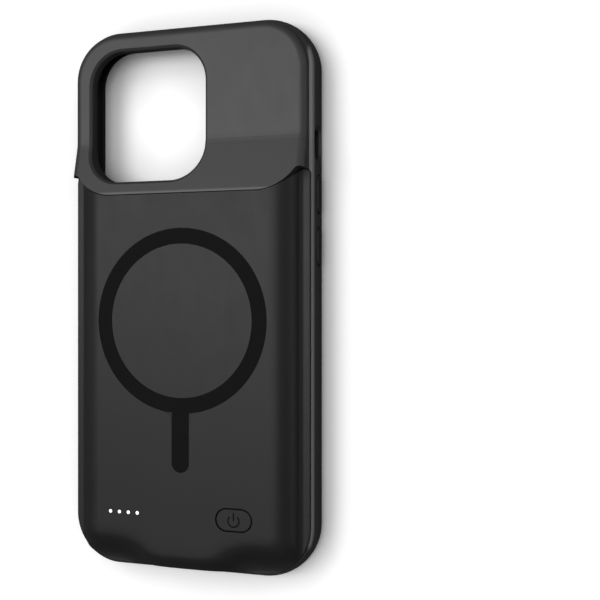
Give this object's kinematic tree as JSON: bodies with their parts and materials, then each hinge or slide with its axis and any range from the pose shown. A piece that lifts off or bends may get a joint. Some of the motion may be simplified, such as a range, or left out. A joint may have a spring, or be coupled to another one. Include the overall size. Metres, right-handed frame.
{
  "type": "battery case",
  "caption": "Slim slip-on battery case with a camera window, ramped battery pack, magnet ring, charge lamps, power key, side keys, dock plug and charge port.",
  "frame": {"origin": "middle of the case's outline on the plane of its front rim", "axes": "+Z out of the back (battery side), +Y towards the camera-window end, +X towards the wall with the volume keys"},
  "size_m": [0.0782, 0.1618, 0.0165],
  "materials": {
    "frame_soft": "soft matt",
    "cover_hard": "fine matt",
    "ring_print": "matt",
    "lamp_clear": "clear",
    "key_soft": "matt",
    "tray_plastic": "matt",
    "cell_foil": "satin foil",
    "tape": "matt",
    "nickel": "satin",
    "board_green": "satin",
    "chip_black": "matt",
    "plug_metal": "polished",
    "flex_amber": "satin",
    "magnet": "plated"
  },
  "bodies": {
    "case": {"bumper_frame": "frame_soft", "battery_cover": "cover_hard", "ring_inlay": "ring_print", "light_guide": "lamp_clear", "inner_tray": "tray_plastic", "battery_cell": "cell_foil", "battery_tape": "tape", "cell_tabs": "nickel", "main_board": "board_green", "led_chips": "lamp_clear", "tact_switch": "chip_black", "controller_chip": "chip_black", "inductor": "chip_black", "board_capacitors": "tape", "dock_plug": "plug_metal", "dock_board": "board_green", "charge_port": "plug_metal", "ribbon_cable": "flex_amber", "magnet_array": "magnet", "align_magnet": "magnet"},
    "power_key": {"power_button": "key_soft"},
    "volume_up_key": {"volume_up_button": "key_soft"},
    "volume_down_key": {"volume_down_button": "key_soft"},
    "side_key": {"side_button": "key_soft"}
  },
  "joints": [
    {"name": "power_press", "type": "slide", "parent": "case", "child": "power_key", "axis": [0, 0, -1], "range_m": [0, 0.0004], "stiffness_N_per_m": 800},
    {"name": "volume_up_press", "type": "slide", "parent": "case", "child": "volume_up_key", "axis": [-1, 0, 0], "range_m": [0, 0.0004], "stiffness_N_per_m": 800},
    {"name": "volume_down_press", "type": "slide", "parent": "case", "child": "volume_down_key", "axis": [-1, 0, 0], "range_m": [0, 0.0004], "stiffness_N_per_m": 800},
    {"name": "side_press", "type": "slide", "parent": "case", "child": "side_key", "axis": [1, 0, 0], "range_m": [0, 0.0004], "stiffness_N_per_m": 800}
  ]
}
